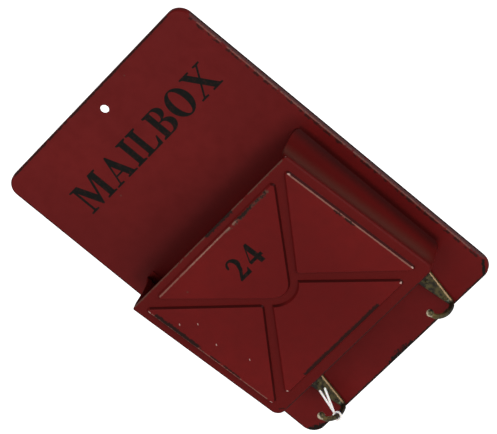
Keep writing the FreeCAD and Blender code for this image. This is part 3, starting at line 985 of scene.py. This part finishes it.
@dataclass
class BackPlate:
    """The tall plate with its returned rim and the painted title. Sizes in millimetres."""

    nodes: dict[str, bpy.types.Object]
    title: str = "MAILBOX"
    title_height: float = 24.5
    title_stretch: float = 1.10
    title_x: float = 2.8
    title_foot_z: float = -50.0
    face_y: float = -1.0
    bend_y: float = -0.6
    rim_middle_y: float = 1.5
    rim_edge_y: float = 3.4
    sunk: float = 0.02

    def spot(self, x: float, z: float, y: float | None = None) -> Vector:
        """Place a point on the plate, in metres; y is the face's unless it is given."""
        return Vector((x, self.face_y if y is None else y, z)) * MM

    def wear_and_painted_light(self) -> tuple[WearAndPaintedLight, ...]:
        """List the worn stretches of the plate and its painted shade.

        Returns:
            The rim, the edges, the chips at the foot and the painted shade around the pocket.
        """
        low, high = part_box("back_plate")
        left, right, foot, top = low.x / MM, high.x / MM, low.z / MM, high.z / MM
        pocket_low, pocket_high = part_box("envelope_pocket")
        seam, floor, mouth = pocket_high.x / MM, pocket_low.z / MM, pocket_high.z / MM
        bend, middle, edge = self.bend_y, self.rim_middle_y, self.rim_edge_y
        return tuple(stretches(self.spot, (
            # start (x, z, y), end, tone, width, cover, ragged, strength, core
            ((right, top - 14, middle), (right, foot + 12, middle), Tone.MAUVE, 3.2, 0.8, 0.5, 0.8),
            ((right - 1.0, top - 20), (right - 1.0, foot + 24), Tone.TAN, 0.8, 0.7, 0.6, 0.35),
            ((right - 2.6, top - 14), (right - 2.6, foot + 16), Tone.BLACK, 1.3, 0.55, 1.0, 0.75),
            ((right, top - 12, edge), (right, foot + 12, edge), Tone.BLACK, 1.5, 0.9, 0.4, 0.9),
            ((left + 12, top - 0.5, bend), (right - 14, top - 0.5, bend), Tone.BLACK, 1.3, 0.75,
             0.6, 0.8),
            ((left + 12, foot + 0.5, bend), (right - 12, foot + 0.5, bend), Tone.BLACK, 1.8, 0.9,
             0.5, 0.9),
            ((-13, foot + 0.5), (11, foot + 0.5), Tone.BLACK, 4.2, 0.9, 0.9),
            ((left + 3, foot + 6), (left + 16, foot), Tone.BLACK, 2.8, 0.9, 0.8),
            ((right - 10, foot + 2), (right - 2, foot + 10), Tone.BLACK, 1.6, 0.7, 0.7),
            ((left + 0.5, top - 14, bend), (left + 0.5, foot + 12, bend), Tone.BLACK, 1.3, 0.75,
             0.6, 0.9),
            # painted shade: beside the pocket's right wall and on the plate above the pocket's mouth
            ((seam + 1.0, mouth - 3), (seam + 1.0, floor + 8), Tone.SHADOW, 5.0, 1.0, 0.1, 0.75, 0.0),
            ((-seam, mouth + 1), (seam, mouth + 1), Tone.SHADOW, 16.0, 1.0, 0.1, 0.4, 0.0),
        )))

    def build(self) -> None:
        """Paint the plate and its title."""
        dress(self.nodes["back_plate"], SatinPaint("burgundy_plate", 2.0, wear_and_painted_light=self.wear_and_painted_light()).build())
        film = Lettering("plate_title", self.title, self.title_height, self.title_stretch)
        middle_z = self.title_foot_z + self.title_height / 2
        upright = Matrix.Rotation(math.radians(90), 4, "X")
        place = Matrix.Translation(self.spot(self.title_x, middle_z, self.face_y + self.sunk))
        piece = film.build(place @ upright)
        piece.data.materials.append(StencilInk("stencil_black", 0.0).build())
        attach(piece, "root")
        LOG.info("plate_title stands on the plate")


@dataclass
class Pocket:
    """The embossed pocket, its number and its rivets. Sizes in millimetres."""

    nodes: dict[str, bpy.types.Object]
    front: PocketFront = field(default_factory=PocketFront)
    side_margin: float = 8.7
    top_margin: float = 7.6
    foot_margin: float = 10.4
    corner_gap: float = 14.2
    crest_down: float = 40.0
    number: str = "24"
    number_height: float = 19.6
    number_stretch: float = 1.22
    number_gap: float = 0.12
    number_x: float = 1.8
    number_down: float = 35.2
    sunk: float = 0.02

    def spot(self, x: float, down: float, raised: float | None = None) -> Vector:
        """Place a point on the front, in metres; raised is the panels' unless it is given."""
        return self.front.at(x, down, self.front.rise if raised is None else raised)

    def corner_wear(self, side: int) -> tuple[tuple, ...]:
        """List the pale chips at one side's panel corners.

        Args:
            side: -1 for the left, 1 for the right.

        Returns:
            Rows for stretches().
        """
        panel_x = side * (self.front.box()[1].x - self.side_margin)
        flap_x = panel_x - side * self.corner_gap
        top, foot = self.top_margin, self.front.length - self.foot_margin
        return (
            ((panel_x, top + 2.5), (panel_x, top + 4), Tone.PALE, 1.0, 1.0, 0.4, 0.75),
            ((flap_x - side * 1.5, foot - 0.6), (flap_x - side * 2.5, foot - 0.8), Tone.PALE, 1.2,
             1.0, 0.4, 0.8),
            ((panel_x, foot - 2.5), (panel_x, foot - 4), Tone.PALE, 0.9, 1.0, 0.4, 0.7),
        )

    def wear_and_painted_light(self) -> tuple[WearAndPaintedLight, ...]:
        """List the worn stretches of the pocket and its painted light.

        Returns:
            The panels' edges and corners, the lip, the silhouette with painted shade along its foot,
            a painted highlight at the mouth's right corner, a painted sheen on the right side wall,
            painted shade along the roots of both side walls and four nicks.
        """
        low, high = self.front.box()
        panel_x = high.x - self.side_margin
        flap_x = panel_x - self.corner_gap
        length = self.front.length
        top, foot = self.top_margin, length - self.foot_margin
        worn = stretches(self.spot, (
            # start (x, down, raised), end, tone, width, cover, ragged, strength, core
            ((-flap_x + 1, top + 0.4), (26, top + 0.4), Tone.TAN, 0.9, 0.8, 0.4, 0.5),
            ((-34, top + 0.3), (4, top + 0.3), Tone.TAN, 0.7, 0.6, 0.6, 0.8),
            ((14, top + 0.8), (62, top + 0.8), Tone.BROWN, 1.7, 0.75, 0.9),
            ((26, top + 0.8), (60, top + 0.8), Tone.BLACK, 1.6, 0.7, 0.9, 0.9),
            ((panel_x - 0.4, top + 5), (panel_x - 0.4, foot - 3), Tone.TAN, 0.75, 0.9, 0.3, 0.62),
            ((panel_x - 1.2, 56), (panel_x - 1.2, 74), Tone.BLACK, 1.2, 0.7, 0.8, 0.85),
            ((-panel_x + 0.3, top + 6), (-panel_x + 0.3, foot - 8), Tone.TAN, 0.7, 0.75, 0.5, 0.45),
            ((-panel_x + 1.6, 17), (-panel_x + 1.6, 57), Tone.BLACK, 2.1, 1.0, 0.6, 0.92),
            ((-panel_x + 1.2, 60), (-panel_x + 1.2, 98), Tone.BLACK, 1.1, 0.6, 0.9, 0.8),
            ((-46, foot - 0.9), (41, foot - 0.9), Tone.BLACK, 1.9, 0.85, 0.6, 0.88),
            ((-20, foot + 0.5), (24, foot + 0.5), Tone.TAN, 0.5, 0.7, 0.5, 0.6),
            ((low.x + 0.3, 1, -1.3), (low.x + 0.3, 136, -1.3), Tone.BLACK, 1.8, 1.0, 0.4, 0.9),
            # dark along the front's bottom shoulder: worn paint, deepened as painted shade where the
            # foot turns from the light
            ((-88, length, -1.2), (88, length, -1.2), Tone.BLACK, 1.7, 0.85, 0.5, 0.8),
            ((-2, 0.5, 0.2), (28, 0.5, 0.2), Tone.BLACK, 2.0, 0.75, 0.9, 0.9),
            ((-90, 0.1, 0.0), (90, 0.1, 0.0), Tone.BROWN, 1.1, 0.75, 0.8, 0.8),
            # painted highlight: a pale speck on the right wall's top edge at the front corner of the
            # mouth
            ((high.x - 0.6, 0.6, -1.5), (high.x - 0.6, 1.0, -2.5), Tone.PALE, 0.8, 1.0, 0.5, 0.6),
            ((-87, foot + 6, 0.0), (-84, foot + 8, 0.0), Tone.BLACK, 0.8, 0.8, 0.8, 0.7),
            # painted sheen: a wide greyish-brown band on the right side wall near the front shoulder,
            # where the hollow wall catches a grazing sheen
            ((high.x - 7, 3, -19), (high.x - 5, 134, -15), Tone.BROWN, 14.0, 1.0, 0.2, 0.5, 0.0),
            *self.corner_wear(-1), *self.corner_wear(1),
            *(((x, down), (x + 0.7, down - 0.9), Tone.PALE, 0.5, 1.0, 0.3, 0.6)
              for x, down in ((-78, 35), (-68, 45), (-73, 67), (-66, 94))),
        ))
        # painted shade along the roots of both side walls, where they meet the plate
        seam_shade = (((x, -2.0, high.z - 2), (x, -2.0, low.z + 7), Tone.SHADOW, 9.5, 1.0, 0.1, 0.8, 0.0)
                 for x in (high.x, low.x))
        return (*worn, *stretches(lambda x, y, z: Vector((x, y, z)) * MM, seam_shade))

    def build(self) -> None:
        """Paint the pocket, its rivets and its number."""
        slope = self.front.slope
        outwards = Vector((0.0, -math.cos(slope), -math.sin(slope)))
        paint = SatinPaint("burgundy_pocket", 5.0, wear_and_painted_light=self.wear_and_painted_light(), outwards=outwards,
                           crest=self.spot(0.0, self.crest_down))
        dress(self.nodes["envelope_pocket"], paint.build())
        rivet_paint = SatinPaint("burgundy_rivets", 8.0, speck_share=0.1)
        dress(self.nodes["pocket_rivets"], rivet_paint.build())
        film = Lettering("flap_number", self.number, self.number_height, self.number_stretch,
                         gap=self.number_gap)
        piece = film.build(self.front.frame(self.number_x, self.number_down,
                                            self.front.rise - self.sunk))
        piece.data.materials.append(StencilInk("stencil_black_flap", 4.0).build())
        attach(piece, "root")
        LOG.info("flap_number stands on the flap")


@dataclass
class KeyHooks:
    """Both cast hooks, their rivets and the tie on the left one. Sizes in millimetres."""

    nodes: dict[str, bpy.types.Object]
    leaf_thickness: float = 3.2
    plate_face: float = -1.0
    ball_radius: float = 2.9
    ball_rise: float = 17.6

    def rubbed_and_painted_light(self, node: str) -> tuple[WearAndPaintedLight, ...]:
        """List where a hook is worn bright or darker, with its painted highlight and painted shadow:
        its edges, its arm and its ball.

        Args:
            node: the hook's name.

        Returns:
            The stretches.
        """
        low, high = (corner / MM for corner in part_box(node))
        face = self.plate_face - self.leaf_thickness
        width, height = high.x - low.x, high.z - low.z
        ball_y, ball_up = low.y + self.ball_radius, self.ball_rise

        def spot(right: float, y: float, up: float) -> Vector:
            """Place a point by its distances from the hook's left and lowest, in metres."""
            return Vector((low.x + right, y, low.z + up)) * MM

        return tuple(stretches(spot, (
            # start (right, y, up), end, tone, width, cover, ragged, strength
            ((width - 0.3, face + 0.9, height - 2.5), (7.0, face + 0.9, 4.5), Tone.TAN, 1.1, 0.95,
             0.35, 0.9),
            ((5.8, ball_y + 9.0, 9.0), (6.0, ball_y + 1.0, ball_up - 3.5), Tone.BROWN, 3.4, 0.8,
             0.5, 0.9),
            ((6.0, ball_y + 8.0, 11.5), (6.0, ball_y + 2.5, ball_up - 2.0), Tone.TAN, 1.5, 0.9, 0.5,
             0.8),
            # painted highlight: the whole ball laid pale for its bright shine
            ((4.9, ball_y, ball_up), (4.9, ball_y, ball_up + 1.0), Tone.PALE, 3.6, 1.0, 0.2, 0.9),
            ((5.2, face + 1.0, 3.0), (5.4, face - 12.0, 2.5), Tone.BLACK, 3.8, 0.95, 0.4, 0.85),
            ((5.4, face, 8.5), (5.8, face, 7.5), Tone.MAUVE, 1.5, 0.9, 0.6, 0.8),
            # painted shadow of the pocket on the top left corner of the leaf
            ((1.0, face, height - 3.0), (2.2, face, height - 9.0), Tone.BLACK, 2.4, 0.9, 0.8, 0.9),
        )))

    def build(self) -> None:
        """Dress the hooks, the rivets and the tie."""
        for side, seed in (("left", 9.1), ("right", 9.8)):
            node = f"key_hook_{side}"
            brass = AgedBrass(f"aged_brass_{side}", seed, rubbed_and_painted_light=self.rubbed_and_painted_light(node))
            dress(self.nodes[node], brass.build())
        dress(self.nodes["hook_rivets"], AgedBrass("aged_brass_rivets", 4.0).build())
        dress(self.nodes["tag_tie"], MattPlastic("white_nylon").build())


# ---- studio ----


@dataclass
class Studio:
    """Pale floor, soft light and the camera.

    Lengths in metres, angles in degrees: azimuth from straight in front, positive to the viewer's
    right, elevation above level and roll about the line of sight.
    """

    lens: float = 304.2
    sensor: float = 36.0
    camera_place: tuple[float, float, float] = (1.5964, -2.6983, 0.4183)
    azimuth: float = 30.513
    elevation: float = 10.052
    roll: float = -50.684
    floor_z: float = -1.1
    floor_reach: float = 12.0
    floor_tone: float = 0.9
    aim: tuple[float, float, float] = (0.0, 0.0, -0.14)
    ambient: float = 0.33
    backdrop: float = 1.05

    def add_camera(self) -> None:
        """Add the camera, rolled as the holder was held before it."""
        data = bpy.data.cameras.new("camera")
        data.lens = self.lens
        data.sensor_width = self.sensor
        data.sensor_fit = "HORIZONTAL"
        data.clip_start = 0.1
        camera = bpy.data.objects.new("camera", data)
        bpy.context.scene.collection.objects.link(camera)
        camera.matrix_world = (Matrix.Translation(self.camera_place)
                               @ Matrix.Rotation(math.radians(self.azimuth), 4, "Z")
                               @ Matrix.Rotation(math.radians(90 - self.elevation), 4, "X")
                               @ Matrix.Rotation(math.radians(self.roll), 4, "Z"))
        bpy.context.scene.camera = camera

    def add_area(self, name: str, azimuth: float, elevation: float, distance: float, size: float,
                 power: float) -> None:
        """Add a soft square lamp.

        Args:
            name: the lamp's name.
            azimuth: from straight in front, positive to the viewer's right.
            elevation: above level.
            distance: from the holder's middle.
            size: side of the square.
            power: in watts.
        """
        data = bpy.data.lights.new(name, "AREA")
        data.energy = power
        data.size = size
        lamp = bpy.data.objects.new(name, data)
        bpy.context.scene.collection.objects.link(lamp)
        turn, lift = math.radians(azimuth), math.radians(elevation)
        out = Vector((math.sin(turn) * math.cos(lift), -math.cos(turn) * math.cos(lift),
                      math.sin(lift)))
        lamp.location = Vector(self.aim) + out * distance
        lamp.rotation_euler = out.to_track_quat("Z", "Y").to_euler()

    def add_floor(self) -> None:
        """Lay the pale floor."""
        mesh = bmesh.new()
        bmesh.ops.create_grid(mesh, x_segments=1, y_segments=1, size=self.floor_reach)
        bmesh.ops.translate(mesh, verts=mesh.verts, vec=(0.0, 0.0, self.floor_z))
        data = bpy.data.meshes.new("studio_floor")
        mesh.to_mesh(data)
        mesh.free()
        floor = bpy.data.objects.new("studio_floor", data)
        bpy.context.scene.collection.objects.link(floor)
        material = bpy.data.materials.new("pale_floor")
        material.use_nodes = True
        sheet = NodeSheet(material.node_tree)
        seen = sheet.node("ShaderNodeLightPath").outputs["Is Camera Ray"]
        glow = sheet.node("ShaderNodeCombineColor")
        sheet.fill(glow, {"Red": seen, "Green": seen, "Blue": seen})
        sheet.shade(Base_Color=(self.floor_tone,) * 3 + (1.0,), Roughness=0.9,
                    Emission_Strength=1.0, Emission_Color=glow.outputs[0])
        floor.data.materials.append(material)

    def add_surroundings(self) -> None:
        """Fill the room with even light: white to look at, dimmer as a light."""
        world = bpy.data.worlds.new("studio")
        bpy.context.scene.world = world
        world.use_nodes = True
        sheet = NodeSheet(world.node_tree)
        seen = sheet.node("ShaderNodeLightPath").outputs["Is Camera Ray"]
        strength = sheet.math("MULTIPLY_ADD", seen, self.backdrop - self.ambient, self.ambient)
        sheet.fill(world.node_tree.nodes["Background"],
                   {"Color": (1.0, 1.0, 1.0, 1.0), "Strength": strength})

    def build(self) -> None:
        """Set up the whole studio."""
        bpy.context.scene.view_settings.view_transform = "Standard"
        self.add_camera()
        self.add_floor()
        self.add_surroundings()
        self.add_area("key_lamp", azimuth=-18.0, elevation=16.0, distance=2.4, size=2.2, power=33.0)
        self.add_area("fill_lamp", azimuth=60.0, elevation=-14.0, distance=2.4, size=1.8, power=44.0)


def main() -> None:
    """Build the scene in order and report it."""
    logging.basicConfig(level=logging.INFO, format="%(message)s")
    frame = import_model()
    nodes = frame["nodes"]
    Studio().build()
    BackPlate(nodes).build()
    Pocket(nodes).build()
    KeyHooks(nodes).build()


if __name__ == "__main__":
    main()
